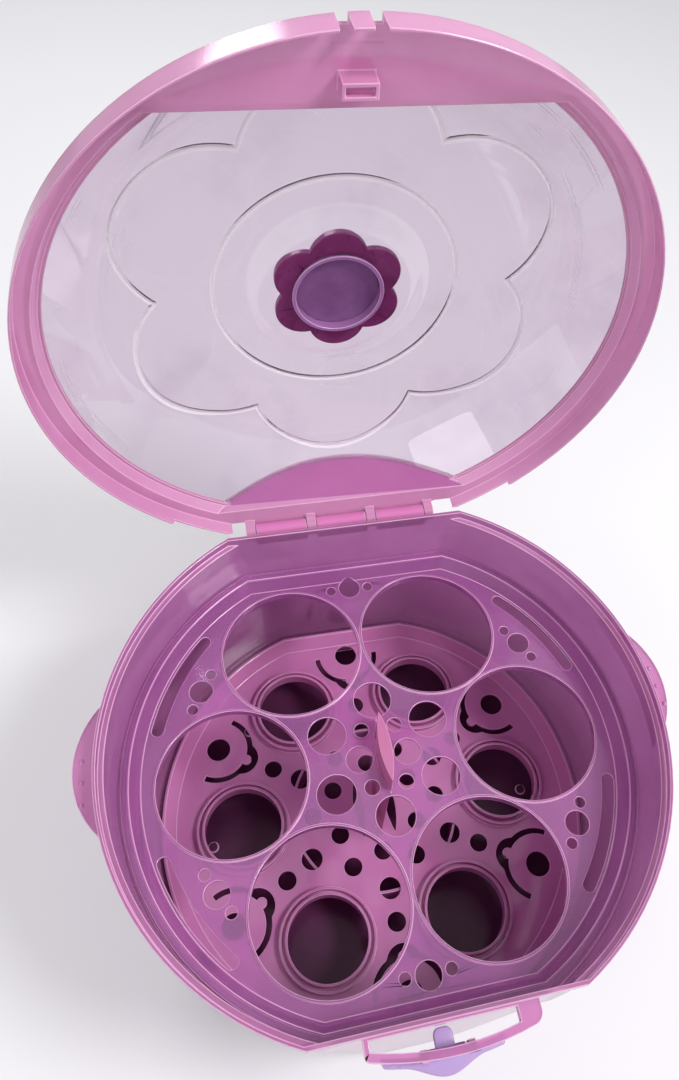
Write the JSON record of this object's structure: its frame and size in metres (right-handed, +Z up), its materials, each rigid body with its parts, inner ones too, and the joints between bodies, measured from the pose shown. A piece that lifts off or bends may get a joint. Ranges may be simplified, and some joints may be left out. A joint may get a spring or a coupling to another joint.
{
  "type": "microwave sterilizer",
  "caption": "Round translucent pink microwave steam sterilizer with a hinged clear-domed lid, lift-out bottle rack, lower tray and front latch.",
  "frame": {"origin": "middle of the tub's flat base, in the plane that it stands on", "axes": "+Z up out of the tub, +Y towards the lid's hinge, the latch at -Y"},
  "size_m": [0.288, 0.3066, 0.4017],
  "materials": {
    "pink_plastic": "gloss",
    "clear_plastic": "gloss",
    "magenta_plastic": "gloss",
    "lilac_plastic": "gloss",
    "violet_plastic": "satin"
  },
  "bodies": {
    "base": {"tub": "pink_plastic", "hinge_pin": "pink_plastic", "latch_pin": "pink_plastic"},
    "tray": {"lower_tray": "pink_plastic", "lift_handle": "pink_plastic"},
    "rack": {"upper_rack": "pink_plastic"},
    "lid": {"lid_frame": "pink_plastic", "lid_window": "clear_plastic", "flower_cap": "magenta_plastic", "badge_bezel": "lilac_plastic", "badge_plate": "violet_plastic"},
    "latch": {"latch": "lilac_plastic"}
  },
  "joints": [
    {"name": "lid_hinge", "type": "hinge", "parent": "base", "child": "lid", "pos_m": [-0.0022, 0.1225, 0.144], "axis": [1, 0, 0], "range_deg": [0, 88.4]},
    {"name": "latch_flip", "type": "hinge", "parent": "base", "child": "latch", "pos_m": [-0.0035, -0.131, 0.1364], "axis": [-1, 0, 0], "range_deg": [0, 90]},
    {"name": "tray_lift", "type": "slide", "parent": "base", "child": "tray", "axis": [0, 0, 1], "range_m": [0, 0.2]},
    {"name": "rack_lift", "type": "slide", "parent": "tray", "child": "rack", "axis": [0, 0, 1], "range_m": [0, 0.2]}
  ]
}
